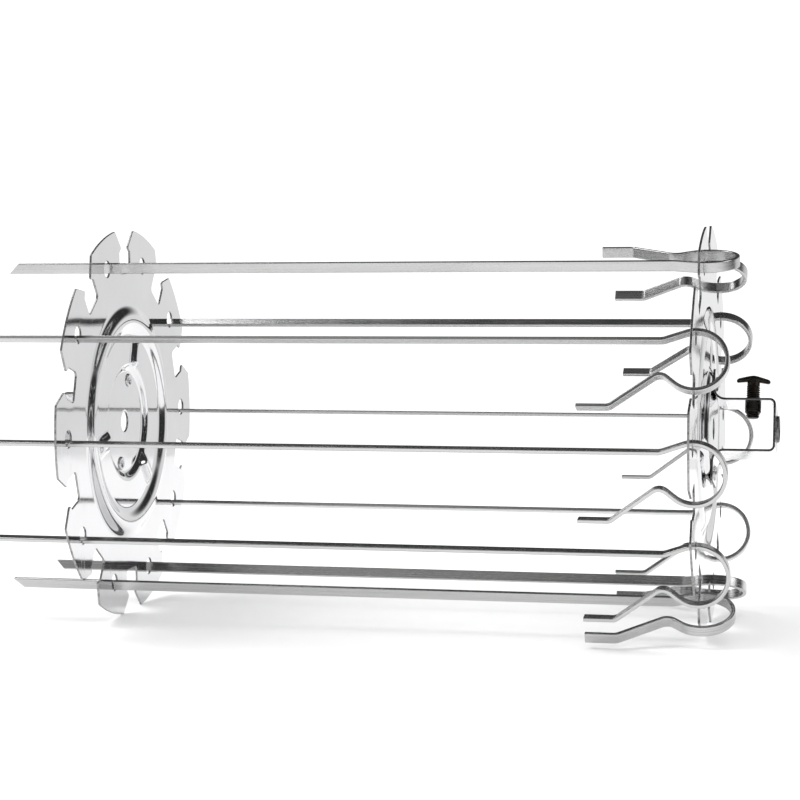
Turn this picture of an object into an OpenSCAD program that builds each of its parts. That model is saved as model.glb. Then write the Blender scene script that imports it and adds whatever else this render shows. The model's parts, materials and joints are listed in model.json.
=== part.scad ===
// Skewer cage for a rotisserie spit: two stamped wheels that clamp on the spit,
// and ten flat skewers that pass through both and hook on the right wheel with
// spring clips bent from their own ends.
// +X runs along the spit towards the right wheel's bracket, +Y to the back and
// +Z up. The origin is on the spit's axis, at the outer face of the right hub.
// An angle around the spit is 0 at the front (-Y) and 90 at the top (+Z).

/* [Wheels] */
// Distance between the outer faces of the two hubs
wheel_span = 276; // [220:1:300]
// Outer radius of a wheel
wheel_r = 90; // [89.5:0.1:91]
// Thickness of the stamped sheet
sheet = 1; // [0.8:0.1:1.2]
// Distance that the hub is pressed outwards from the rim
hub_rise = 2; // [1.5:0.1:2.5]
// Radius of the flat hub
hub_r = 24; // [23:0.5:25]
// Radius of the stiffening ring's crest
ring_r = 48; // [47:0.5:49]
// Half the width of the stiffening ring
ring_half = 8; // [7:0.5:8.5]
// Distance that the stiffening ring is pressed inwards
ring_rise = 2.5; // [1.5:0.1:3]
// Radius of the bore that the spit runs through
bore_r = 4.75; // [4.5:0.05:5]

/* [Notches] */
// Half the width of a notch at the tips of its teeth
tooth_half = 4.9; // [4.5:0.1:5.2]
// Radius at the tips of the teeth
tooth_r = 82; // [81.5:0.1:82.5]
// Half the width of the pocket behind the teeth
pocket_half = 7; // [6.5:0.1:7.5]
// Radius at the bottom of the pocket
pocket_r = 69.5; // [69:0.1:70.5]

/* [Skewers] */
// Radius of the circle that the skewers' holes lie on
hole_circle_r = 76; // [75.5:0.1:76.5]
// Radius of a skewer's hole
hole_r = 3.9; // [3.85:0.05:4]
// Width of the flat strip
strip_w = 4.8; // [4.5:0.1:4.8]
// Thickness of the flat strip
strip_t = 1.8; // [1.6:0.1:1.8]
// Offset of the blade and of the clip's start from the middle of a hole
seat = 2; // [1.9:0.05:2]
// Length of blade outside the left wheel
tip_reach = 48; // [45:1:55]

/* [Clips] */
// Radius of the clip's loop, to the middle of the strip
loop_r = 13.1; // [12.9:0.1:13.3]
// Depth of the clip's waist below the middle of the hole
waist_t = 16.4; // [16:0.1:17.5]
// Depth of the flared end below the middle of the hole
flare_t = 31.6; // [31:0.1:32]
// Length that the clip reaches back from the right wheel
clip_reach = 47.5; // [47:0.5:50]

/* [Brackets] */
// Width of the strap
strap_w = 20; // [18:0.5:20]
// Distance from the spit's axis to the middle of a leg
leg_z = 11.4; // [11.2:0.1:11.8]
// Distance from the hub to the middle of the end wall
strap_reach = 27; // [26.5:0.1:28]
// Distance from the spit's axis to a rivet
rivet_z = 20; // [19.8:0.1:20.4]
// Distance from the hub to the clamp screw's axis
screw_x = 17; // [16:0.1:17.5]
// Gap between the spit's axis and the screw's tip when it is loose
screw_tip = 4.9; // [4.85:0.05:5.2]

/* [Hidden] */

skewers = 10;                     // as many as SEATS below has rows, and notches too
pitch = 360 / skewers;
// The hub, its bracket and its rivets line up with a skewer's hole, 18 degrees past the top.
hub_tilt = pitch / 2;
rim_x = -hub_rise;                // outer face of the right wheel's rim
rim_mid = rim_x - sheet / 2;
cut = 3 * sheet;                  // depth of a cutter that goes right through a sheet
mouth_r = wheel_r + 0.4;          // just outside the wheel, where a notch's outline ends
mouth_half = tooth_half + mouth_r - tooth_r;
tooth_drop = 1;                   // length of a tooth's straight tip
pocket_slope = 1.6;               // length of the slope from tooth to pocket
pocket_corner = 1.6;              // chamfer at the bottom of a pocket

hub_slope = 3;                    // width of the cone from the hub to the web
ribs = 3;
rib_r = 4;                        // outer radius of a pressed rib
rib_rise = 1.6;                   // height of a rib above the web
rib_in = hub_r + 1.5;
rib_out = ring_r - ring_half + 2;

jog_x = -13;                      // where the blade starts to rise, from the rim
jog_fillet = 6;
loop_x = 0.8;                     // middle of the loop, from the rim
waist_x = -13.4;                  // where the clip's waist is, from the rim
waist_fillet = 4.5;
flare_x = -34;                    // where the flare turns straight, from the rim
flare_fillet = 4;

foot_z = 25;                      // far end of a bracket's foot
foot_fillet = 5;
strap_fillet = 2.2;
collar_r = bore_r + 1;            // drawn collar round the end wall's hole
collar_h = 1.2;

rivet_r = 2;
rivet_head_r = 3.4;
rivet_head_h = 1.5;
rivet_roll_r = 3.2;               // rolled end of the hollow rivet
rivet_roll_h = 0.8;
rivet_hollow_r = 1.3;
rivet_round = 0.3;                // step of the rolled end's rounding

screw_r = 3;                      // M6 thread
screw_chamfer = 0.8;
thread_gap = 0.06;                // running clearance in the nut
nut_r = 3.5;
nut_h = 3.6;                      // length of the nut below the leg
nut_lip = 0.3;                    // length of the nut above the leg
stud_top = 20.5;
wing_h = 3.6;
wing_len = 15;
wing_t = 3.4;
wing_web = 2.6;                   // thickness of the wing's arch
wing_neck_r = 2.6;
wing_bend_r = 13;
wing_turn = 12;                   // angle of the wing about the screw's axis

fine = 96;                        // sides of a round piece
bend_steps = 6;                   // steps in a bend
waist_steps = 10;
loop_steps = 40;
ring_steps = 16;                  // steps across the stiffening ring

// Each skewer: [hole number, side of its arm, swing outwards in degrees].
// Hole 0 is at the front and the numbers rise over the top to the back. Side -1
// lays the arm in the notch at the next lower angle, +1 in the one at the next higher.
SEATS = [[3, 1, -12], [2, 1, -8], [1, -1, -10], [0, -1, -8], [-1, -1, 25],
         [-2, 1, 41], [-3, -1, 43], [-4, 1, 14], [5, 1, -4], [4, 1, -2]];

// ---- Outlines -----------------------------------------------------------

// Points of an arc from angle a to angle b
function arc(c, r, a, b, n) =
    [for (i = [0:n]) c + r * [cos(a + (b - a) * i / n), sin(a + (b - a) * i / n)]];

function unit(v) = v / norm(v);

// Points that round the corner p between its neighbours a and b
function corner(a, p, b, r, n = bend_steps) =
    let (u = unit(a - p), v = unit(b - p),
         half = acos(u * v) / 2,
         c = p + unit(u + v) * r / sin(half),
         s = p + u * r / tan(half) - c,
         e = p + v * r / tan(half) - c,
         s_at = atan2(s.y, s.x),
         turn = atan2(s.x * e.y - s.y * e.x, s * e))
    arc(c, r, s_at, s_at + turn, n);

// Angle of the point where a line from p touches a circle; side is 1 or -1
function touch(p, c, r, side) =
    let (d = p - c) atan2(d.y, d.x) + side * acos(r / norm(d));

// Unit normal of a path at point i
function normal(path, i) =
    let (a = path[max(i - 1, 0)], b = path[min(i + 1, len(path) - 1)], d = unit(b - a))
    [-d.y, d.x];

// A strip of thickness t along a path
module strip(path, t) {
    last = len(path) - 1;
    upper = [for (i = [0:last]) path[i] + normal(path, i) * t / 2];
    lower = [for (i = [last:-1:0]) path[i] - normal(path, i) * t / 2];
    polygon(concat(upper, lower));
}

// Middle line of a skewer: x along the spit from the rim, y towards the arm's side
function skewer_path() =
    let (tip = [-(wheel_span - 2 * hub_rise - sheet) - tip_reach, seat],
         jog = [jog_x, seat],
         c = [loop_x, loop_r - seat],
         waist = [waist_x, waist_t],
         flare = [flare_x, flare_t],
         end = [-clip_reach, flare_t],
         a = touch(jog, c, loop_r, 1),
         b = touch(waist, c, loop_r, -1),
         on_a = c + loop_r * [cos(a), sin(a)],
         on_b = c + loop_r * [cos(b), sin(b)],
         sweep = a - b > 0 ? b - a + 360 : b - a)
    concat([tip],
           corner(tip, jog, on_a, jog_fillet),
           arc(c, loop_r, a, a + sweep, loop_steps),
           corner(on_b, waist, flare, waist_fillet, waist_steps),
           corner(waist, flare, end, flare_fillet),
           [end]);

// Middle line of a bracket's strap: x from the hub, y from the spit's axis
function strap_path() =
    let (foot = [sheet / 2, foot_z], bend = [sheet / 2, leg_z], wall = [strap_reach, leg_z],
         flip = [1, -1],
         lower_wall = [wall.x, -wall.y], lower_bend = [bend.x, -bend.y])
    concat([foot],
           corner(foot, bend, wall, foot_fillet),
           corner(bend, wall, lower_wall, strap_fillet),
           corner(wall, lower_wall, lower_bend, strap_fillet),
           corner(lower_wall, lower_bend, [foot.x, -foot.y], foot_fillet),
           [[foot.x, -foot.y]]);

// Outer face of the wheel's middle: [radius, distance along the spit]
function ring_depth(r) =
    abs(r - ring_r) >= ring_half ? 0 : ring_rise * (1 + cos(180 * (r - ring_r) / ring_half)) / 2;

function dish() = concat(
    [[bore_r, 0], [hub_r, 0], [hub_r + hub_slope, rim_x]],
    [for (i = [0:ring_steps]) let (r = ring_r + (2 * i / ring_steps - 1) * ring_half)
        [r, rim_x - ring_depth(r)]],
    [[wheel_r, rim_x]]);

// Half of a notch's outline, from the mouth to the bottom: [radius, half width]
NOTCH = [[mouth_r, mouth_half], [tooth_r, tooth_half], [tooth_r - tooth_drop, tooth_half],
         [tooth_r - tooth_drop - pocket_slope, pocket_half],
         [pocket_r + pocket_corner, pocket_half], [pocket_r, pocket_half - pocket_corner]];

// ---- Placing ------------------------------------------------------------

// Turns a shape drawn at the front, angle 0, to another angle around the spit
module around(angle) rotate([-angle, 0, 0]) children();

// Lays what is drawn along Z along the spit
module along_spit() rotate([90, 0, 90]) children();

// Turns what is drawn upright to the hub's tilt
module on_hub() rotate([-hub_tilt, 0, 0]) children();

// Moves a right-hand piece to the left wheel, mirrored
module to_left() translate([-wheel_span, 0, 0]) mirror([1, 0, 0]) children();

// ---- Wheels -------------------------------------------------------------

module rib(r, face_x) {
    intersection() {
        translate([rim_x - sheet - rib_rise + rib_r, 0, rib_in])
            cylinder(h = rib_out - rib_in, r = r, $fn = fine);
        translate([face_x - rib_r, -rib_r, 0])
            cube([rib_r, 2 * rib_r, wheel_r]);
    }
}

module each_rib() {
    for (i = [0:ribs - 1])
        rotate([-hub_tilt - i * 360 / ribs, 0, 0]) children();
}

module plate() {
    outer = dish();
    inner = [for (i = [len(outer) - 1:-1:0]) outer[i] - [0, sheet]];
    color("gainsboro")
    difference() {
        union() {
            along_spit() rotate_extrude($fn = fine) polygon(concat(outer, inner));
            each_rib() rib(rib_r, rim_x);
        }
        each_rib() rib(rib_r - sheet, rim_x);
        for (i = [0:skewers - 1]) {
            around(i * pitch) translate([0, -hole_circle_r, 0])
                along_spit() translate([0, 0, rim_x - 2 * sheet])
                    cylinder(h = cut, r = hole_r, $fn = fine);
            around((i + 0.5) * pitch) along_spit() translate([0, 0, rim_x - 2 * sheet])
                linear_extrude(cut)
                    polygon(concat([for (p = NOTCH) [-p.x, p.y]],
                                   [for (k = [len(NOTCH) - 1:-1:0]) [-NOTCH[k].x, -NOTCH[k].y]]));
        }
        on_hub() for (side = [-1, 1]) translate([-2 * sheet, 0, side * rivet_z])
            rotate([0, 90, 0]) cylinder(h = cut, r = rivet_r, $fn = fine);
    }
}

// ---- Brackets and their screws -------------------------------------------

module bracket() {
    color("silver")
    on_hub() difference() {
        union() {
            rotate([90, 0, 0]) linear_extrude(strap_w, center = true) strip(strap_path(), sheet);
            translate([strap_reach, 0, 0]) rotate([0, 90, 0])
                cylinder(h = sheet / 2 + collar_h, r = collar_r, $fn = fine);
        }
        translate([strap_reach - sheet, 0, 0]) rotate([0, 90, 0])
            cylinder(h = cut + collar_h, r = bore_r, $fn = fine);
        for (side = [-1, 1]) translate([-sheet, 0, side * rivet_z])
            rotate([0, 90, 0]) cylinder(h = cut, r = rivet_r, $fn = fine);
        translate([screw_x, 0, leg_z - sheet]) cylinder(h = cut, r = nut_r, $fn = fine);
    }
}

// Hollow rivets: a domed head on the foot and a rolled end inside the hub
module rivets() {
    color("lightgray")
    on_hub() for (side = [-1, 1]) translate([0, 0, side * rivet_z]) rotate([0, 90, 0])
        rotate_extrude($fn = fine) polygon([
            [0, sheet + rivet_head_h], [rivet_head_r * 0.6, sheet + rivet_head_h * 0.85],
            [rivet_head_r * 0.9, sheet + rivet_head_h * 0.45], [rivet_head_r, sheet],
            [rivet_r, sheet], [rivet_r, -sheet],
            [rivet_roll_r, -sheet], [rivet_roll_r - rivet_round, -sheet - rivet_roll_h * 0.7],
            [rivet_r + rivet_round, -sheet - rivet_roll_h],
            [rivet_hollow_r, -sheet - rivet_roll_h * 0.6],
            [rivet_hollow_r, 0], [0, 0]]);
}

// Threaded bush pressed into the upper leg
module clamp_nut() {
    color("dimgray")
    on_hub() translate([screw_x, 0, leg_z - sheet / 2 - nut_h]) difference() {
        cylinder(h = nut_h + sheet + nut_lip, r = nut_r, $fn = fine);
        translate([0, 0, -sheet])
            cylinder(h = nut_h + cut + nut_lip, r = screw_r + thread_gap, $fn = fine);
    }
}

// Threaded stud with a chamfered tip
module clamp_stud() {
    color("darkslategray")
    on_hub() translate([screw_x, 0, 0]) rotate_extrude($fn = fine)
        polygon([[0, screw_tip], [screw_r - screw_chamfer, screw_tip],
                 [screw_r, screw_tip + screw_chamfer], [screw_r, stud_top], [0, stud_top]]);
}

// Arched wing that sits on the stud's top
module clamp_wing() {
    color("darkslategray")
    on_hub() translate([screw_x, 0, stud_top]) rotate([0, 0, wing_turn]) {
        intersection() {
            translate([0, 0, -wing_bend_r + wing_h]) rotate([90, 0, 0])
                difference() {
                    cylinder(h = wing_t, r = wing_bend_r, center = true, $fn = fine);
                    cylinder(h = 2 * wing_t, r = wing_bend_r - wing_web, center = true, $fn = fine);
                }
            translate([-wing_len / 2, -wing_t, 0]) cube([wing_len, 2 * wing_t, wing_h]);
        }
        cylinder(h = wing_h / 2, r = wing_neck_r, $fn = fine);
    }
}

// ---- Skewers --------------------------------------------------------------

// One skewer as it lies in the front hole, with its arm pointing down. The tip is
// cut at 45 degrees, and its longer edge is the one nearer to the spit.
module skewer_blank() {
    color("silver")
    translate([rim_mid, 0, 0]) rotate([-90, 0, 0]) difference() {
        linear_extrude(strip_w, center = true) strip(skewer_path(), strip_t);
        translate([skewer_path()[0].x, 0, strip_w / 2]) rotate([0, -45, 0])
            translate(-2 * strip_w * [1, 1, 1]) cube(strip_w * [2, 4, 4]);
    }
}

module skewer(n) {
    seat_n = SEATS[n - 1];
    around(seat_n[0] * pitch) translate([0, -hole_circle_r, 0])
        mirror([0, 0, seat_n[1] > 0 ? 1 : 0])
            rotate([-seat_n[2], 0, 0]) skewer_blank();
}

plate();  // plate_right
to_left() plate();  // plate_left
bracket();  // bracket_right
to_left() bracket();  // bracket_left
rivets();  // rivets_right
to_left() rivets();  // rivets_left
clamp_nut();  // clamp_nut_right
to_left() clamp_nut();  // clamp_nut_left
clamp_stud();  // clamp_stud_right
to_left() clamp_stud();  // clamp_stud_left
clamp_wing();  // clamp_wing_right
to_left() clamp_wing();  // clamp_wing_left
skewer(1);  // skewer_01
skewer(2);  // skewer_02
skewer(3);  // skewer_03
skewer(4);  // skewer_04
skewer(5);  // skewer_05
skewer(6);  // skewer_06
skewer(7);  // skewer_07
skewer(8);  // skewer_08
skewer(9);  // skewer_09
skewer(10);  // skewer_10
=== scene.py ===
"""Skewer cage for a rotisserie spit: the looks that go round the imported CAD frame.

The object's lengths are in millimetres and are turned into metres when a mesh is made.
+X runs along the spit to the right wheel's bracket, +Y to the back, +Z up. An angle
round the spit is 0 at the front (-Y) and 90 at the top (+Z).
"""
import json
import math

import bpy
import numpy as np
from mathutils import Matrix, Vector, geometry


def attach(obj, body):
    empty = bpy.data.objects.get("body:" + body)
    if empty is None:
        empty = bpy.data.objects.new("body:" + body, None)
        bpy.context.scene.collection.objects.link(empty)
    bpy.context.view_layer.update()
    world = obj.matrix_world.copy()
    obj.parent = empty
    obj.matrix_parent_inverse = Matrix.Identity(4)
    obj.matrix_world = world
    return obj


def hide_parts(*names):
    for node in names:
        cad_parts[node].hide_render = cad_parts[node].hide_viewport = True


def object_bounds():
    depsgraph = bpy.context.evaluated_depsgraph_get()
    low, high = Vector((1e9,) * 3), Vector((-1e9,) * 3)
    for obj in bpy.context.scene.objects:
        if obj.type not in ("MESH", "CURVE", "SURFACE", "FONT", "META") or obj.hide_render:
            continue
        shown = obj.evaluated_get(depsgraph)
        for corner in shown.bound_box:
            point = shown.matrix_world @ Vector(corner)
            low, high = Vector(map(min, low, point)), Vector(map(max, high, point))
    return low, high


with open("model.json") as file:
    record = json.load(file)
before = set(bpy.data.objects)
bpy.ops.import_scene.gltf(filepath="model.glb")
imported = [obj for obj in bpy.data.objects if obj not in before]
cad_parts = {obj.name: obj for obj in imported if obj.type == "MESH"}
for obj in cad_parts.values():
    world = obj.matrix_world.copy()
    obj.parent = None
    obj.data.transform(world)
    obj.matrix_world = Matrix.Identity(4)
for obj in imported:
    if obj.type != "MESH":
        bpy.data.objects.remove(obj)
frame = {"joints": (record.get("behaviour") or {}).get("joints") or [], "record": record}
CAD_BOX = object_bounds()
MM = 0.001

# ---- Sizes, in millimetres -----------------------------------------------------

MOUNTS = {m["name"]: m for m in frame["record"]["mounts"]}
JOINTS = {j["name"]: j for j in frame["joints"]}
SPAN = -MOUNTS["spit_bore_left"]["pos_m"][0] / MM
BORE_R = MOUNTS["spit_bore_right"]["dims"]["r_mm"]

# a wheel's pressed sheet: hub, ribs and stiffening ring, all inside PRESSED_R
SHEET = 1.0
EDGE_ROUND = 0.2
WHEEL_R, PRESSED_R = 90.0, 58.0
WHEEL_SIDES = 216
HUB_RISE, HUB_TILT = 2.0, 18.0
HUB_R, HUB_FOOT_R = 23.2, 27.8
RIM_MID = -HUB_RISE - SHEET / 2
RING_R, RING_HALF, RING_RISE = 48.0, 8.0, 2.5
RIBS = 3
RIB_FROM, RIB_TO, RIB_HALF, RIB_RISE = 25.5, 42.0, 4.6, 2.2
RIB_NEAR_FADE, RIB_FAR_FADE = 3.5, 5.0

# the skewers' holes, and one notch halfway between each two: half its outline, from the
# mouth to the root, as (distance from the spit, half width, corner radius)
SKEWERS = 10
PITCH = 360.0 / SKEWERS
HOLE_CIRCLE_R, HOLE_R = 76.0, 3.9
NOTCH = [
    (89.19, 12.09, 1.1), (82.0, 4.9, 0.5), (81.0, 4.9, 0.4), (79.4, 7.0, 0.7), (69.5, 7.0, 2.2),
]
MOUTH_LIP = 0.03

# a skewer's strip, and the corners and loop of its clip: (along the spit from the rim,
# from the hole's middle towards the arm's side)
STRIP_W, STRIP_T, STRIP_ROUND = 4.8, 1.8, 0.5
SEAT = 2.0
TIP_REACH = 48.0
LOOP_AT, LOOP_R = (0.8, 11.1), 13.1
JOG, WAIST = (-13.0, SEAT), (-13.4, 16.4)
FLARE, ARM_END = (-34.0, 31.6), (-47.5, 31.6)
JOG_BEND, WAIST_BEND, FLARE_BEND = 6.0, 4.5, 4.0
# degrees that each clip's arm leans outwards from a line square to its hole's radius
SWINGS = [-12, -8, -10, -8, 25, 41, 43, 14, -4, -2]

# a bracket and its clamp screw, from the hub's outer face and the spit's axis
STRAP_W, STRAP_CORNER = 20.0, 1.5
LEG_Z, STRAP_REACH, FOOT_Z = 11.4, 27.0, 25.0
FOOT_BEND, STRAP_BEND = 5.0, 2.2
RIVET_Z = 20.0
SCREW_X, SCREW_R, SCREW_TIP = 17.0, 3.0, 4.9
THREAD_DEPTH, THREAD_PITCH = 0.55, 1.0
NUT_BELOW, NUT_ABOVE = 3.6, 0.3
STUD_TOP, STUD_HELD = 20.5, 0.4
WING_HALF, WING_TURN = 7.45, 12.0


# ---- Curves ---------------------------------------------------------------------


def unit(v):
    return v / np.linalg.norm(v)


def arc(centre, r, a, b, steps):
    """Points of an arc from angle a to angle b, in radians."""
    t = np.linspace(a, b, steps + 1)
    return centre + r * np.column_stack([np.cos(t), np.sin(t)])


def fillet(a, p, b, r, steps):
    """Points that round the corner p between its neighbours a and b."""
    u, v = unit(a - p), unit(b - p)
    half = math.acos(float(np.clip(u @ v, -1, 1))) / 2
    centre = p + unit(u + v) * r / math.sin(half)
    start = p + u * r / math.tan(half) - centre
    end = p + v * r / math.tan(half) - centre
    first = math.atan2(start[1], start[0])
    turn = math.atan2(start[0] * end[1] - start[1] * end[0], float(start @ end))
    return arc(centre, r, first, first + turn, steps)


def smooth(t):
    """A soft step from 0 at t = 0 to 1 at t = 1."""
    t = np.clip(t, 0, 1)
    return t * t * (3 - 2 * t)


def offset(loop, d):
    """A closed loop moved d to the left of the way it runs."""
    ahead, behind = np.roll(loop, -1, 0) - loop, loop - np.roll(loop, 1, 0)
    ahead /= np.linalg.norm(ahead, axis=1)[:, None]
    behind /= np.linalg.norm(behind, axis=1)[:, None]
    na = np.column_stack([-ahead[:, 1], ahead[:, 0]])
    nb = np.column_stack([-behind[:, 1], behind[:, 0]])
    mid = na + nb
    mid /= np.linalg.norm(mid, axis=1)[:, None]
    return loop + mid * d / np.maximum((mid * na).sum(1), 0.5)[:, None]


def circle(r, sides, centre=(0, 0), turn=1):
    """Points round a circle, clockwise where turn is -1."""
    t = np.arange(sides) * 2 * math.pi / sides * turn
    return np.array(centre, float) + r * np.column_stack([np.cos(t), np.sin(t)])


def inside(points, loop):
    """Whether each point lies in a closed loop."""
    x, y = points[:, 0][:, None], points[:, 1][:, None]
    x0, y0 = loop[:, 0], loop[:, 1]
    x1, y1 = np.roll(x0, -1), np.roll(y0, -1)
    rise = np.where(y1 == y0, 1e-12, y1 - y0)
    hit = ((y0 > y) != (y1 > y)) & (x < (x1 - x0) * (y - y0) / rise + x0)
    return hit.sum(1) % 2 == 1


# ---- Meshes ---------------------------------------------------------------------


class Shape:
    """Vertices in millimetres, and faces, each with the number of its material."""

    def __init__(self):
        self.verts, self.faces, self.mats, self.uvs = [], [], [], []
        self.count = 0

    def add(self, points, uv=None):
        points = np.asarray(points, float)
        first = self.count
        self.verts.append(points)
        self.uvs.append(np.zeros((len(points), 2)) if uv is None else np.asarray(uv, float))
        self.count += len(points)
        return first + np.arange(len(points))

    def face(self, indices, mat=0):
        self.faces.append([int(i) for i in indices])
        self.mats.append(mat)

    def bridge(self, a, b, mat=0):
        """Quads between two rings of the same length."""
        for i in range(len(a)):
            j = (i + 1) % len(a)
            self.face((a[i], a[j], b[j], b[i]), mat)

    def fan(self, middle, ring, forwards=True):
        """Triangles from one vertex to a ring, which runs forwards or backwards."""
        for i in range(len(ring)):
            pair = (ring[i], ring[(i + 1) % len(ring)])
            self.face((middle, *(pair if forwards else pair[::-1])))

    def make(self, name, materials, place=None, mirrored=False, weighted=True):
        points = np.vstack(self.verts)
        if place is not None:
            points = place(points)
        mesh = bpy.data.meshes.new(name)
        flip = (lambda f: f[::-1]) if mirrored else (lambda f: f)
        mesh.from_pydata((points * MM).tolist(), [], [flip(f) for f in self.faces])
        for m in materials:
            mesh.materials.append(m)
        mesh.polygons.foreach_set("material_index", self.mats)
        mesh.polygons.foreach_set("use_smooth", [True] * len(self.faces))
        uv = np.vstack(self.uvs)
        layer = mesh.uv_layers.new(name="strip")
        corner = np.zeros(len(mesh.loops), int)
        mesh.loops.foreach_get("vertex_index", corner)
        layer.data.foreach_set("uv", uv[corner].ravel())
        mesh.validate()
        mesh.update()
        obj = bpy.data.objects.new(name, mesh)
        bpy.context.scene.collection.objects.link(obj)
        if weighted:
            fix = obj.modifiers.new("normals", "WEIGHTED_NORMAL")
            fix.keep_sharp = True
            fix.weight = 80
        return obj


def sheet(shape, loops, bend, rows=(), inner=None):
    """Sheet metal: a flat outline with holes, cut into triangles and then bent.

    loops is [(points, profile)]. The outline runs anticlockwise and a hole clockwise, so
    the metal is on the left. A profile is the shape of the edge, from the upper face to
    the lower one: (distance into the metal, height). rows are lines across the metal
    that the triangles follow. inner is a ring that the metal ends at on its inner side:
    (its points, its upper vertices, its lower vertices). Faces have material 0 and
    edges have material 1.
    """
    flat, edges, ends = [], [], []
    count = 0
    for points, profile in loops:
        top = offset(points, profile[0][0])
        n = len(top)
        flat.append(top)
        edges += [(count + i, count + (i + 1) % n) for i in range(n)]
        ends.append((count, n))
        count += n
    if inner is not None:
        n = len(inner[0])
        flat.append(inner[0])
        edges += [(count + i, count + (i + 1) % n) for i in range(n)]
        ends.append((count, n))
        count += n
    for row in rows:
        flat.append(row)
        edges += [(count + i, count + i + 1) for i in range(len(row) - 1)]
        count += len(row)
    flat = np.vstack(flat)
    out = geometry.delaunay_2d_cdt([Vector(p) for p in flat], edges, [], 0, 1e-5)
    points = np.array([list(v) for v in out[0]])
    new_of = {old: new for new, olds in enumerate(out[3]) for old in olds}
    triangles = np.array([list(f) for f in out[2]])
    middle = points[triangles].mean(1)
    keep = inside(middle, flat[ends[0][0]:ends[0][0] + ends[0][1]])
    for start, n in ends[1:]:
        keep &= ~inside(middle, flat[start:start + n])
    corners = points[triangles]
    a, b = corners[:, 1] - corners[:, 0], corners[:, 2] - corners[:, 0]
    turned = a[:, 0] * b[:, 1] - a[:, 1] * b[:, 0] < 0
    triangles[turned] = triangles[turned][:, ::-1]
    half = SHEET / 2
    faces = []
    for side in (1, -1):
        ids = shape.add(bend(points, np.full(len(points), side * half)), points * MM)
        if inner is not None:
            start, n = ends[len(loops)]
            for i in range(n):
                ids[new_of[start + i]] = inner[1 if side > 0 else 2][i]
        faces.append(ids)
        for t in triangles[keep]:
            shape.face(ids[t] if side > 0 else ids[t][::-1])
    for (loop, profile), (start, n) in zip(loops, ends):
        match = [new_of[start + i] for i in range(n)]
        last = faces[0][match]
        for d, w in profile[1:-1]:
            ring = offset(loop, d)
            ids = shape.add(bend(ring, np.full(n, w)), ring * MM)
            shape.bridge(ids, last, 1)
            last = ids
        shape.bridge(faces[1][match], last, 1)


def edge_profile():
    """A rounded edge, from the upper face to the lower one."""
    r, half = EDGE_ROUND, SHEET / 2
    t = np.linspace(0, math.pi / 2, 4)
    upper = [(r * (1 - math.sin(a)), half - r * (1 - math.cos(a))) for a in t]
    return upper + [(d, -w) for d, w in upper[::-1]]


def lathe(shape, profile, sides, place):
    """A turned piece: profile is [(radius, height)], with the metal on its left.

    A profile that ends where it starts makes a ring with a hole through it. place moves
    points from the axis of the turning to where the piece is.
    """
    rings = []
    for r, h in profile:
        if rings and (r, h) == profile[0]:
            rings.append(rings[0])
            continue
        points = circle(r, sides) if r > 0 else np.zeros((1, 2))
        points = np.column_stack([points, np.full(len(points), h)])
        uv = np.column_stack([points[:, 2], np.full(len(points), r)]) * MM
        rings.append(shape.add(place(points), uv))
    for a, b in zip(rings, rings[1:]):
        if len(a) == 1:
            shape.fan(a[0], b, False)
        elif len(b) == 1:
            shape.fan(b[0], a)
        else:
            shape.bridge(a, b)


# ---- Placing --------------------------------------------------------------------


def turn_x(points, degrees):
    a = math.radians(degrees)
    y, z = points[:, 1], points[:, 2]
    return np.column_stack(
        [points[:, 0], y * math.cos(a) - z * math.sin(a), y * math.sin(a) + z * math.cos(a)]
    )


def on_hub(points):
    """From upright to the lean of the hub, its ribs and its bracket."""
    return turn_x(points, -HUB_TILT)


def to_left(points):
    """From the right wheel to the left one, which is its mirror image."""
    return points * [-1, 1, 1] - [SPAN, 0, 0]


# ---- Materials ------------------------------------------------------------------


class Nodes:
    """Short ways to add nodes to the tree of a material or of the world."""

    def __init__(self, tree):
        self.tree = tree
        self.at = tree.nodes.new("ShaderNodeTexCoord")

    def put(self, value, socket):
        """Sets a socket to a plain value, or links it to another node's output."""
        if hasattr(value, "is_output"):
            self.tree.links.new(value, socket)
        else:
            socket.default_value = value

    def node(self, kind, **inputs):
        made = self.tree.nodes.new("ShaderNode" + kind)
        for key, value in inputs.items():
            self.put(value, made.inputs[key.replace("_", " ")])
        return made

    def coords(self, source, scale=(1, 1, 1), rotation=(0, 0, 0)):
        vector = self.at.outputs[source]
        return self.node("Mapping", Vector=vector, Scale=scale, Rotation=rotation).outputs["Vector"]

    def noise(self, vector, scale, detail, rough):
        made = self.node("TexNoise", Vector=vector, Scale=scale, Detail=detail, Roughness=rough)
        return made.outputs["Fac"]

    def ramp(self, value, low, high, out_low=0.0, out_high=1.0, curve="LINEAR"):
        made = self.node("MapRange", Value=value, From_Min=low, From_Max=high)
        made.inputs["To Min"].default_value = out_low
        made.inputs["To Max"].default_value = out_high
        made.interpolation_type = curve
        return made.outputs["Result"]

    def maths(self, operation, *values):
        made = self.tree.nodes.new("ShaderNodeMath")
        made.operation = operation
        for slot, value in enumerate(values):
            self.put(value, made.inputs[slot])
        return made.outputs["Value"]

    def mix(self, share, a, b):
        """A colour between a and b."""
        made = self.tree.nodes.new("ShaderNodeMix")
        made.data_type = "RGBA"
        for slot, value in ((0, share), (6, (*a, 1)), (7, (*b, 1))):
            self.put(value, made.inputs[slot])
        return made.outputs[2]

    def bump(self, height, strength, distance, before=None):
        made = self.node("Bump", Strength=strength, Distance=distance, Height=height)
        if before is not None:
            self.put(before, made.inputs["Normal"])
        return made.outputs["Normal"]


class Surface(Nodes):
    """A new material, with plain values for some of its shader's inputs."""

    def __init__(self, name, **inputs):
        self.material = bpy.data.materials.new(name)
        self.material.use_nodes = True
        super().__init__(self.material.node_tree)
        self.shader = self.tree.nodes["Principled BSDF"]
        for key, value in inputs.items():
            self.shader.inputs[key.replace("_", " ")].default_value = value

    def link(self, output, name):
        self.tree.links.new(output, self.shader.inputs[name])


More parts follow.
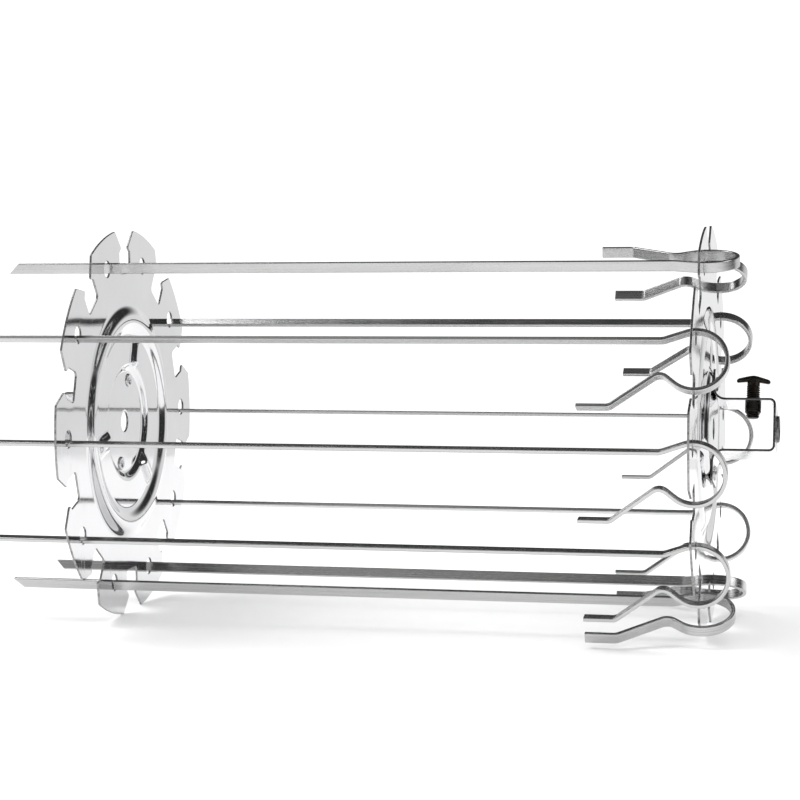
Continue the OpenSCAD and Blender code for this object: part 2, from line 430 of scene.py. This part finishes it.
def scratches(n):
    """Fine lines that run in three directions, 1 on a line and 0 between them."""
    lines = None
    for k, (turn, along, across) in enumerate(((0.3, 18, 900), (1.5, 12, 1100), (2.5, 22, 1000))):
        at = n.coords("Object", (along, across, across * 0.05), (turn, 0.4 * k, turn * 0.7))
        line = n.ramp(n.noise(at, 1.0, 2.0, 0.4), 0.66, 0.74)
        lines = line if lines is None else n.maths("MAXIMUM", lines, line)
    return lines


def polished(name, base, rough, wave):
    """Polished stainless sheet: a faint wave from the press, fine scratches and a few smears."""
    n = Surface(name, Metallic=1.0)
    lines = scratches(n)
    smear = n.noise(n.coords("Object", (14, 30, 30), (0.5, 0, 0)), 1.0, 5.0, 0.6)
    grain = n.noise(n.coords("Object"), 900.0, 3.0, 0.6)
    n.link(n.mix(n.ramp(smear, 0.3, 0.7), [c * 0.94 for c in base], base), "Base Color")
    r = n.ramp(smear, 0.3, 0.75, rough * 0.6, rough * 1.7)
    r = n.maths("ADD", r, n.ramp(lines, 0, 1, 0, 0.12))
    r = n.maths("ADD", r, n.ramp(grain, 0.3, 0.7, 0, rough * 0.5))
    n.link(r, "Roughness")
    wavy = n.noise(n.coords("Object"), 26.0, 1.5, 0.4)
    normal = n.bump(wavy, wave, 0.002)
    normal = n.bump(lines, 0.06, 0.00003, normal)
    normal = n.bump(grain, 0.04, 0.00002, normal)
    n.link(normal, "Normal")
    return n.material


def sheared(name, base, rough):
    """The cut edge of a sheet: bright burnish and darker torn metal, in short streaks."""
    n = Surface(name, Metallic=1.0)
    streak = n.noise(n.coords("Object", (90, 900, 900)), 1.0, 3.0, 0.6)
    n.link(n.mix(n.ramp(streak, 0.35, 0.65), [c * 0.55 for c in base], base), "Base Color")
    n.link(n.ramp(streak, 0.3, 0.7, rough * 0.7, rough * 1.4), "Roughness")
    n.link(n.bump(streak, 0.35, 0.00005), "Normal")
    return n.material


def brushed(name, base, rough):
    """Rolled flat wire, brushed along its length. The UV map runs along the strip in metres."""
    n = Surface(name, Metallic=1.0)
    fine = n.noise(n.coords("UV", (30, 9000, 1)), 1.0, 4.0, 0.65)
    broad = n.noise(n.coords("UV", (9, 1300, 1)), 1.0, 3.0, 0.6)
    patch = n.noise(n.coords("Object", (25, 60, 60)), 1.0, 4.0, 0.6)
    both = n.maths("MULTIPLY", n.maths("ADD", fine, broad), 0.5)
    n.link(n.mix(n.ramp(both, 0.34, 0.66), [c * 0.74 for c in base], base), "Base Color")
    r = n.ramp(both, 0.35, 0.65, rough * 0.75, rough * 1.25)
    r = n.maths("ADD", r, n.ramp(patch, 0.35, 0.7, -0.03, 0.06))
    n.link(r, "Roughness")
    normal = n.bump(broad, 0.25, 0.00005)
    normal = n.bump(fine, 0.35, 0.00002, normal)
    n.link(normal, "Normal")
    return n.material


def blackened(name, base, rough):
    """Blackened steel: nearly black with a faint warm sheen, rubbed on its high points."""
    n = Surface(name, Metallic=0.85)
    patch = n.noise(n.coords("Object"), 420.0, 5.0, 0.65)
    grain = n.noise(n.coords("Object"), 2600.0, 3.0, 0.6)
    warm = [base[0] * 2.6, base[1] * 2.2, base[2] * 1.8]
    n.link(n.mix(n.ramp(patch, 0.45, 0.75), base, warm), "Base Color")
    n.link(n.ramp(patch, 0.3, 0.7, rough * 0.75, rough * 1.35), "Roughness")
    normal = n.bump(patch, 0.2, 0.0001)
    normal = n.bump(grain, 0.25, 0.00004, normal)
    n.link(normal, "Normal")
    return n.material


WHEEL_STEEL = polished("wheel_steel", (0.70, 0.70, 0.71), 0.055, 0.12)
WHEEL_EDGE = sheared("wheel_edge", (0.42, 0.42, 0.42), 0.32)
STRAP_STEEL = polished("strap_steel", (0.72, 0.72, 0.73), 0.10, 0.05)
STRAP_EDGE = sheared("strap_edge", (0.24, 0.24, 0.24), 0.35)
RIVET_STEEL = polished("rivet_steel", (0.62, 0.62, 0.63), 0.2, 0.05)
SKEWER_STEEL = brushed("skewer_steel", (0.60, 0.60, 0.60), 0.24)
DARK_STEEL = blackened("dark_steel", (0.022, 0.020, 0.018), 0.34)


# ---- Wheels ---------------------------------------------------------------------


def mid_depth(r, phi):
    """Where the middle of the sheet lies along the spit, at radius r and angle phi."""
    x = RIM_MID + HUB_RISE * (1 - smooth((r - HUB_R) / (HUB_FOOT_R - HUB_R)))
    ring = np.clip(np.abs(r - RING_R) / RING_HALF, 0, 1)
    x = x - RING_RISE * (1 + np.cos(math.pi * ring)) / 2
    for k in range(RIBS):
        away = phi - math.radians(90 + HUB_TILT + 360 / RIBS * k)
        side, along = r * np.sin(away), r * np.cos(away)
        across = np.clip(1 - (side / RIB_HALF) ** 2, 0, 1) ** 1.5
        ends = smooth((along - RIB_FROM) / RIB_NEAR_FADE) * smooth((RIB_TO - along) / RIB_FAR_FADE)
        x = x - RIB_RISE * across * ends * (along > 0)
    return x


def wheel_surface(flat, w):
    """The pressed sheet: flat is (front, up) in millimetres, w the height on its outer face."""
    r = np.maximum(np.hypot(flat[:, 0], flat[:, 1]), 1e-6)
    phi = np.arctan2(flat[:, 1], flat[:, 0])
    step = 0.01
    dr = (mid_depth(r + step, phi) - mid_depth(r - step, phi)) / (2 * step)
    dp = (mid_depth(r, phi + step / r) - mid_depth(r, phi - step / r)) / (2 * step)
    out = np.column_stack([-np.cos(phi), np.sin(phi)])
    around = np.column_stack([np.sin(phi), np.cos(phi)])
    normal = np.column_stack([np.ones(len(r)), -dr[:, None] * out - dp[:, None] * around])
    normal /= np.linalg.norm(normal, axis=1)[:, None]
    middle = np.column_stack([mid_depth(r, phi), out * r[:, None]])
    return middle + normal * w[:, None]


def wheel_outline():
    """The rim's arcs and the notches between them, anticlockwise."""
    points = []
    mouth = math.atan2(NOTCH[0][1], NOTCH[0][0])
    clear = mouth + MOUTH_LIP
    for k in range(SKEWERS):
        t = math.radians((k + 0.5) * PITCH)
        axis, side = np.array([math.cos(t), math.sin(t)]), np.array([-math.sin(t), math.cos(t)])
        corners = [(a * axis - b * side, r) for a, b, r in NOTCH]
        corners += [(a * axis + b * side, r) for a, b, r in NOTCH[::-1]]
        back = WHEEL_R * np.array([math.cos(t - clear), math.sin(t - clear)])
        ahead = WHEEL_R * np.array([math.cos(t + clear), math.sin(t + clear)])
        run = [back, *(p for p, _ in corners), ahead]
        for i, (p, r) in enumerate(corners, 1):
            points += list(fillet(run[i - 1], p, run[i + 1], r, 4))
        points += list(arc(np.zeros(2), WHEEL_R, t + clear, t + math.radians(PITCH) - clear, 10))
    return np.array(points)


def wheel(side):
    """Rings of vertices as far as PRESSED_R, closer together where the sheet bends, then the rim."""
    shape = Shape()
    sides = WHEEL_SIDES
    radii = np.concatenate([
        [BORE_R + EDGE_ROUND, 6, 9, 13, 17, 20.5, 22.2],
        np.arange(23, 28.6, 0.4), np.arange(29.2, 40, 0.8), np.arange(40, PRESSED_R + 0.01, 0.5),
    ])
    upper, lower = [], []
    for r in radii:
        ring = circle(r, sides)
        upper.append(shape.add(wheel_surface(ring, np.full(sides, SHEET / 2)), ring * MM))
        lower.append(shape.add(wheel_surface(ring, np.full(sides, -SHEET / 2)), ring * MM))
    for a, b in zip(upper, upper[1:]):
        shape.bridge(b, a)
    for a, b in zip(lower, lower[1:]):
        shape.bridge(a, b)
    bore = circle(BORE_R, sides)[::-1]
    last = upper[0][::-1]
    for d, w in edge_profile()[1:-1]:
        ring = offset(bore, d)
        ids = shape.add(wheel_surface(ring, np.full(sides, w)), ring * MM)
        shape.bridge(ids, last, 1)
        last = ids
    shape.bridge(lower[0][::-1], last, 1)
    loops = [(wheel_outline(), edge_profile())]
    for k in range(SKEWERS):
        t = math.radians(k * PITCH)
        centre = HOLE_CIRCLE_R * np.array([math.cos(t), math.sin(t)])
        loops.append((circle(HOLE_R, 40, centre, -1), edge_profile()))
    sheet(shape, loops, wheel_surface, inner=(circle(PRESSED_R, sides), upper[-1], lower[-1]))
    # the flat frame (front, up) turns the other way round from (+Y, +Z), so faces are flipped
    return finish_piece(shape, f"wheel_{side}", [WHEEL_STEEL, WHEEL_EDGE], side, True)


def finish_piece(shape, name, materials, side, flipped=False, tilt=False):
    """A piece of the right or left wheel, leant back with its hub where tilt says so."""
    def place(points):
        points = on_hub(points) if tilt else points
        return to_left(points) if side == "left" else points

    return shape.make(name, materials, place, flipped != (side == "left"))


# ---- Brackets -------------------------------------------------------------------


def strap_path():
    """The middle of the strap in (along the spit, away from it), with its flat length."""
    h = SHEET / 2
    corners = [
        (h, FOOT_Z, 0), (h, LEG_Z, FOOT_BEND), (STRAP_REACH, LEG_Z, STRAP_BEND),
        (STRAP_REACH, -LEG_Z, STRAP_BEND), (h, -LEG_Z, FOOT_BEND), (h, -FOOT_Z, 0),
    ]
    at = [np.array(c[:2]) for c in corners]
    path = [at[0]]
    for i in range(1, len(corners) - 1):
        path += list(fillet(at[i - 1], at[i], at[i + 1], corners[i][2], 9))
    path = np.array(path + [at[-1]])
    run = np.concatenate([[0], np.cumsum(np.linalg.norm(np.diff(path, axis=0), axis=1))])
    return path, run - run[-1] / 2


def strap_surface(flat, w):
    """Flat (along the strap, across it) to its place; w is the height on the outer face."""
    path, run = strap_path()
    s = flat[:, 0]
    tangent = np.gradient(path, run, axis=0)
    straight = np.diff(path, axis=0) / np.diff(run)[:, None]
    k = np.clip(np.searchsorted(run, s) - 1, 0, len(straight) - 1)
    part = (s - run[k]) / (run[k + 1] - run[k])
    middle = path[k] + straight[k] * (s - run[k])[:, None]
    way = tangent[k] * (1 - part)[:, None] + tangent[k + 1] * part[:, None]
    way /= np.linalg.norm(way, axis=1)[:, None]
    normal = np.column_stack([-way[:, 1], way[:, 0]])
    out = middle + normal * w[:, None]
    return np.column_stack([out[:, 0], flat[:, 1], out[:, 1]])


def bracket(side):
    shape = Shape()
    run = strap_path()[1]
    knots, end = run[1:-1], run[-1]
    half = STRAP_W / 2
    low_corner, high_corner, across = np.array([end, -half]), np.array([end, half]), np.array([end, 0])
    along_low, along_high = np.array([0, -half]), np.array([0, half])
    # half the outline, and then the same half turned round the middle
    outline = []
    for way in (1, -1):
        outline += [way * np.array([s, -half]) for s in knots]
        outline += list(way * fillet(along_low, low_corner, across, STRAP_CORNER, 5))
        outline += list(way * fillet(across, high_corner, along_high, STRAP_CORNER, 5))
    inset = half - EDGE_ROUND
    rows = [np.array([[s, y] for y in np.linspace(-inset, inset, 9)]) for s in knots]
    # the end wall's drawn collar: (into the metal, height), from the outer face to the inner
    collar = [
        (1.7, 0.5), (1.35, 0.56), (1.12, 0.75), (1.0, 1.05), (1.0, 1.55), (0.88, 1.7), (0.15, 1.7),
        (0.0, 1.55), (0.0, 0.35), (0.1, 0.0), (0.38, -0.28), (0.8, -0.45), (1.3, -0.5),
    ]
    loops = [(np.array(outline), edge_profile()), (circle(BORE_R, 64, (0, 0), -1), collar)]
    sheet(shape, loops, strap_surface, rows)
    return finish_piece(shape, f"bracket_{side}_strap", [STRAP_STEEL, STRAP_EDGE], side, False, True)


def rivets(side):
    """Each rivet, as (radius, distance out from the hub's face): a dome outside, a roll inside."""
    shape = Shape()
    dome = [
        (0.0, 2.5), (0.7, 2.47), (1.5, 2.36), (2.2, 2.14), (2.8, 1.8), (3.2, 1.42), (3.38, 1.15),
        (3.4, 1.0),
    ]
    shank = [(2.0, 1.0), (2.0, -1.0)]
    roll = [
        (3.15, -1.0), (3.2, -1.2), (3.05, -1.52), (2.7, -1.74), (2.25, -1.8), (1.8, -1.68),
        (1.45, -1.4), (1.3, -1.0),
    ]
    hollow = [(1.3, 1.4), (0.0, 1.6)]
    profile = (dome + shank + roll + hollow)[::-1]
    for z in (-RIVET_Z, RIVET_Z):
        lathe(shape, profile, 48, lambda p: p[:, [2, 0, 1]] + [0, 0, z])
    return finish_piece(shape, f"bracket_{side}_rivets", [RIVET_STEEL], side, False, True)


def clamp_nut(side):
    """The threaded bush, as (radius, height), with a groove round its waist."""
    shape = Shape()
    low, high = LEG_Z - SHEET / 2 - NUT_BELOW, LEG_Z + SHEET / 2 + NUT_ABOVE
    profile = [
        (3.06, low + 0.3), (3.2, low), (3.3, low), (3.5, low + 0.25), (3.5, low + 1.0),
        (3.38, low + 1.1), (3.38, low + 1.25), (3.5, low + 1.35), (3.5, high - 0.2),
        (3.35, high), (3.15, high), (3.06, high - 0.2), (3.06, low + 0.3),
    ]
    lathe(shape, profile, 64, lambda p: p + [SCREW_X, 0, 0])
    return finish_piece(shape, f"clamp_{side}_nut", [DARK_STEEL], side, False, True)


def clamp_stud(side):
    """A stud with a right-handed thread, a chamfered tip and a plain end inside the wing."""
    shape = Shape()
    sides, rows_a_turn = 48, 10
    top = STUD_TOP + STUD_HELD
    turn = 1 if side == "right" else -1
    count = int((top - SCREW_TIP) / THREAD_PITCH * rows_a_turn) + 1
    angle = np.arange(sides) * 2 * math.pi / sides
    rings = []
    for z in np.linspace(SCREW_TIP, top, count):
        phase = (z / THREAD_PITCH - turn * angle / (2 * math.pi)) % 1.0
        tooth = np.clip((0.5 - np.abs(phase - 0.5) - 0.06) / 0.36, 0, 1)
        r = SCREW_R - THREAD_DEPTH + THREAD_DEPTH * tooth
        r = np.minimum(r, SCREW_R - 0.8 + (z - SCREW_TIP))
        plain = smooth((z - (STUD_TOP - 1.6)) / 0.8)
        r = r * (1 - plain) + (SCREW_R - 0.25) * plain
        rings.append(shape.add(
            np.column_stack([SCREW_X + r * np.cos(angle), r * np.sin(angle), np.full(sides, z)]),
            np.column_stack([np.full(sides, z), angle]) * MM))
    for a, b in zip(rings, rings[1:]):
        shape.bridge(a, b)
    low, high = shape.add([[SCREW_X, 0, SCREW_TIP], [SCREW_X, 0, top]])
    shape.fan(low, rings[0], False)
    shape.fan(high, rings[-1])
    return finish_piece(shape, f"clamp_{side}_stud", [DARK_STEEL], side, False, True)


def clamp_wing(side):
    """The wing: an arched bar that droops to both ends, on a fluted neck."""
    shape = Shape()
    turn = math.radians(WING_TURN)
    c, s = math.cos(turn), math.sin(turn)

    def on_stud(points):
        return points @ np.array([[c, s, 0], [-s, c, 0], [0, 0, 1]]) + [SCREW_X, 0, STUD_TOP]

    t = np.linspace(0, 2 * math.pi, 28, endpoint=False)
    # the bar's section is a squarish oval, which droops and closes towards both ends
    across, tall = (np.sign(f) * np.abs(f) ** 0.75 for f in (np.cos(t), np.sin(t)))
    bar = []
    for u in np.linspace(-1, 1, 33):
        x = WING_HALF * math.sin(u * math.pi / 2)
        k = abs(x) / WING_HALF
        top = 3.58 - 2.15 * (math.sqrt(k * k + 0.03) - 0.1732)
        bottom = 0.75 * (1 - k ** 1.5) - 0.02
        close = math.sqrt(max(1 - max((k - 0.86) / 0.14, 0) ** 2, 0.0004))
        y = (1.7 - 0.25 * k) * close * across
        z = (top + bottom) / 2 + (top - bottom) / 2 * close * tall
        x = np.full(len(t), x)
        bar.append((np.column_stack([x, y, z]), np.column_stack([x, t]) * MM))
    rings = [shape.add(on_stud(points), uv) for points, uv in bar]
    for a, b in zip(rings, rings[1:]):
        shape.bridge(a, b)
    for (points, _), ring, forwards in ((bar[0], rings[0], False), (bar[-1], rings[-1], True)):
        shape.fan(shape.add(on_stud(points.mean(0)[None]))[0], ring, forwards)

    flutes, sides, foot, head = 16, 96, 0.02, 2.2
    a = np.arange(sides) * 2 * math.pi / sides
    rings = []
    # the neck, as (height, radius, depth of its flutes)
    neck = [(foot, 2.3, 0.0), (0.05, 2.5, 0.1), (0.8, 2.62, 0.22), (1.6, 2.6, 0.24), (head, 2.2, 0.1)]
    for z, r, cut in neck:
        r = r - cut * (0.5 + 0.5 * np.cos(flutes * a))
        points = np.column_stack([r * np.cos(a), r * np.sin(a), np.full(sides, z)])
        rings.append(shape.add(on_stud(points)))
    for p, q in zip(rings, rings[1:]):
        shape.bridge(p, q)
    low, high = shape.add(on_stud(np.array([[0, 0, foot], [0, 0, head]])))
    shape.fan(low, rings[0], False)
    shape.fan(high, rings[-1])
    return finish_piece(shape, f"clamp_{side}_wing", [DARK_STEEL], side, False, True)


# ---- Skewers --------------------------------------------------------------------


def touch(p, c, r, side):
    """The angle at which a line from p touches the circle round c, on one side or the other."""
    d = p - c
    return math.atan2(d[1], d[0]) + side * math.acos(r / np.linalg.norm(d))


def skewer_path():
    """The middle of a skewer: (along the spit from the rim, towards the arm's side)."""
    tip = np.array([-(SPAN - 2 * HUB_RISE - SHEET) - TIP_REACH, SEAT])
    jog, waist, flare, end, loop = (np.array(p) for p in (JOG, WAIST, FLARE, ARM_END, LOOP_AT))
    first, last = touch(jog, loop, LOOP_R, 1), touch(waist, loop, LOOP_R, -1)
    last += 2 * math.pi if first > last else 0
    round_loop = arc(loop, LOOP_R, first, last, 90)
    return np.array([
        tip, *[tip + (jog - tip) * k for k in np.linspace(0.1, 0.9, 9)],
        *fillet(tip, jog, round_loop[0], JOG_BEND, 10), *round_loop,
        *fillet(round_loop[-1], waist, flare, WAIST_BEND, 16),
        *fillet(waist, flare, end, FLARE_BEND, 10), end])


def strip_section():
    """A rounded rectangle: (across the strip's thickness, across its width), with its run."""
    t, w, r = STRIP_T / 2, STRIP_W / 2, STRIP_ROUND
    points = []
    for quarter, way in enumerate(((1, 1), (-1, 1), (-1, -1), (1, -1))):
        first = quarter * math.pi / 2
        points += list(arc(np.array([t - r, w - r]) * way, r, first, first + math.pi / 2, 4))
    points = np.array(points)
    run = np.concatenate([[0], np.cumsum(np.linalg.norm(np.diff(points, axis=0), axis=1))])
    return points, run


def skewer(number):
    """One strip in its hole, with its clip on the side that its joint's axis says."""
    name = f"skewer_{number:02d}"
    joint = JOINTS[f"{name}_swing"]
    hole = np.array(joint["pos_m"]) / MM
    side = -1 if joint["axis"][0] < 0 else 1
    phi = math.atan2(hole[2], -hole[1])
    swing = math.radians(SWINGS[number - 1])
    out = np.array([0, -math.cos(phi), math.sin(phi)])
    toward = side * np.array([0, math.sin(phi), math.cos(phi)])
    arm = math.cos(swing) * toward + math.sin(swing) * out
    wide = math.cos(swing) * out - math.sin(swing) * toward
    origin = np.array([RIM_MID, hole[1], hole[2]])
    path = skewer_path()
    run = np.concatenate([[0], np.cumsum(np.linalg.norm(np.diff(path, axis=0), axis=1))])
    way = np.gradient(path, run, axis=0)
    way /= np.linalg.norm(way, axis=1)[:, None]
    normal = np.column_stack([-way[:, 1], way[:, 0]])
    section, girth = strip_section()
    shape = Shape()

    def ring(k, inset=0.0, back=0.0, slant=False):
        """The section at point k, made smaller by inset and moved by back along the strip."""
        shrunk = section * (1 - inset / np.array([STRIP_T / 2, STRIP_W / 2]))
        flat = path[k] + normal[k] * shrunk[:, :1] + way[k] * back
        x = flat[:, 0]
        if slant:
            x = x + (shrunk[:, 1] + STRIP_W / 2)
        points = origin + np.column_stack([x, np.zeros(len(x)), np.zeros(len(x))])
        points = points + flat[:, 1:] * arm + shrunk[:, 1:] * wide
        uv = np.column_stack([np.full(len(x), run[k]), girth]) * MM
        return shape.add(points, uv)

    last = len(path) - 1
    rows = [ring(0, 0.12, 0.0, True), ring(0, 0.0, 0.12, True)]
    rows += [ring(k) for k in range(1, last)]
    rows += [ring(last, 0.0, -0.15), ring(last, 0.15, 0.0)]
    for a, b in zip(rows, rows[1:]):
        shape.bridge(a, b)
    shape.face(rows[0][::-1])
    shape.face(rows[-1])
    # the faces run the other way round where the arm is on the mirrored side
    return shape.make(f"{name}_strip", [SKEWER_STEEL], None, side < 0)


# ---- Build ----------------------------------------------------------------------


def fit_out(piece, body, node):
    """The piece moves with a body and stands in for a CAD node, which is hidden."""
    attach(piece, body)
    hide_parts(node)


for side in ("right", "left"):
    body = f"{side}_wheel"
    fit_out(wheel(side), body, f"plate_{side}")
    fit_out(bracket(side), body, f"bracket_{side}")
    fit_out(rivets(side), body, f"rivets_{side}")
    fit_out(clamp_nut(side), body, f"clamp_nut_{side}")
    fit_out(clamp_stud(side), f"clamp_stud_{side}", f"clamp_stud_{side}")
    fit_out(clamp_wing(side), f"clamp_wing_{side}", f"clamp_wing_{side}")
for number in range(1, SKEWERS + 1):
    name = f"skewer_{number:02d}"
    fit_out(skewer(number), name, name)


# ---- Floor, light and camera ----------------------------------------------------

FLOOR_R, FLOOR_SIDES = 600.0, 96
SEEN_WHITE, MIRRORED_WHITE, MIRRORED_DARK = 1.15, 0.95, 0.035
# a mirrored direction is white below and dark above these steps: its upward part for the
# ceiling, its part along the spit for the end cards, and its upward part at the cards' feet
CEILING_FADE, CARD_FADE, CARD_FOOT_FADE = (0.12, 0.26), (0.80, 0.90), (-0.26, -0.18)
# in metres: (position, target, width and height), and the power in watts
LIGHTS = {
    "key": ((-1.3, 0.3, 1.5), (-0.13, 0, 0), (1.0, 1.0), 14),
    "fill": ((1.4, -0.2, 0.9), (-0.1, 0, 0), (0.8, 1.0), 6),
    "front": ((-0.86, -1.09, 1.02), (-0.3, 0, 0), (1.1, 1.1), 1.5),
}
CAMERA_AT = (0.0829, -0.9677, 0.1020)
CAMERA_LENS, CAMERA_SENSOR = 98.5, 36.0
CAMERA_YAW, CAMERA_PITCH, CAMERA_ROLL = 13.086, -5.209, 0.682


def stage():
    """A round floor under the cage, small enough for polish to mirror the studio past it."""
    shape = Shape()
    low = CAD_BOX[0].z / MM
    rim = circle(FLOOR_R, FLOOR_SIDES, (-SPAN / 2, 0))
    edge = shape.add(np.column_stack([rim, np.full(FLOOR_SIDES, low)]))
    middle = shape.add([[-SPAN / 2, 0, low]])[0]
    shape.fan(middle, edge)
    n = Surface("pale_floor", Roughness=0.9, Specular_IOR_Level=0.1)
    grain = n.noise(n.coords("Object"), 60.0, 3.0, 0.5)
    n.link(n.mix(grain, (0.90, 0.90, 0.90), (0.93, 0.93, 0.93)), "Base Color")
    shape.make("floor", [n.material], weighted=False)


def studio():
    """A white studio for polish to mirror, with a dark ceiling and a dark card at each end.

    To the eye, and as light on the floor, the studio is plain white.
    """
    world = bpy.data.worlds.new("studio")
    bpy.context.scene.world = world
    world.use_nodes = True
    n = Nodes(world.node_tree)
    split = n.node("SeparateXYZ", Vector=n.at.outputs["Generated"])
    ceiling = n.ramp(split.outputs["Z"], *CEILING_FADE, curve="SMOOTHSTEP")
    card = n.maths(
        "MULTIPLY",
        n.ramp(n.maths("ABSOLUTE", split.outputs["X"]), *CARD_FADE, curve="SMOOTHSTEP"),
        n.ramp(split.outputs["Z"], *CARD_FOOT_FADE, curve="SMOOTHSTEP"))
    shade = n.mix(n.maths("MAXIMUM", ceiling, card), [MIRRORED_WHITE] * 3, [MIRRORED_DARK] * 3)
    mirrored = n.tree.nodes["Background"]
    n.put(shade, mirrored.inputs["Color"])
    plain = n.node("Background", Color=(1, 1, 1, 1), Strength=SEEN_WHITE)
    both = n.node("MixShader", Fac=n.node("LightPath").outputs["Is Glossy Ray"])
    n.put(plain.outputs["Background"], both.inputs[1])
    n.put(mirrored.outputs["Background"], both.inputs[2])
    n.put(both.outputs["Shader"], n.tree.nodes["World Output"].inputs["Surface"])


def area_light(name, position, target, size, power):
    data = bpy.data.lights.new(name, "AREA")
    data.shape = "RECTANGLE"
    data.size, data.size_y = size
    data.energy = power
    light = bpy.data.objects.new(name, data)
    light.location = position
    light.rotation_euler = (Vector(target) - Vector(position)).to_track_quat("-Z", "Y").to_euler()
    bpy.context.scene.collection.objects.link(light)


def camera():
    data = bpy.data.cameras.new("camera")
    data.lens, data.sensor_width = CAMERA_LENS, CAMERA_SENSOR
    data.clip_start, data.clip_end = 0.05, 50
    cam = bpy.data.objects.new("camera", data)
    yaw, pitch, roll = (math.radians(d) for d in (CAMERA_YAW, CAMERA_PITCH, CAMERA_ROLL))
    ahead = Vector((-math.sin(yaw) * math.cos(pitch), math.cos(yaw) * math.cos(pitch), math.sin(pitch)))
    level = Vector((math.cos(yaw), math.sin(yaw), 0))
    rise = level.cross(ahead)
    right = level * math.cos(roll) - rise * math.sin(roll)
    up = right.cross(ahead)
    turn = Matrix((right, up, -ahead)).transposed().to_4x4()
    cam.matrix_world = Matrix.Translation(CAMERA_AT) @ turn
    bpy.context.scene.collection.objects.link(cam)
    bpy.context.scene.camera = cam


stage()
studio()
for name, light in LIGHTS.items():
    area_light(name, *light)
camera()
bpy.context.scene.view_settings.view_transform = "Standard"
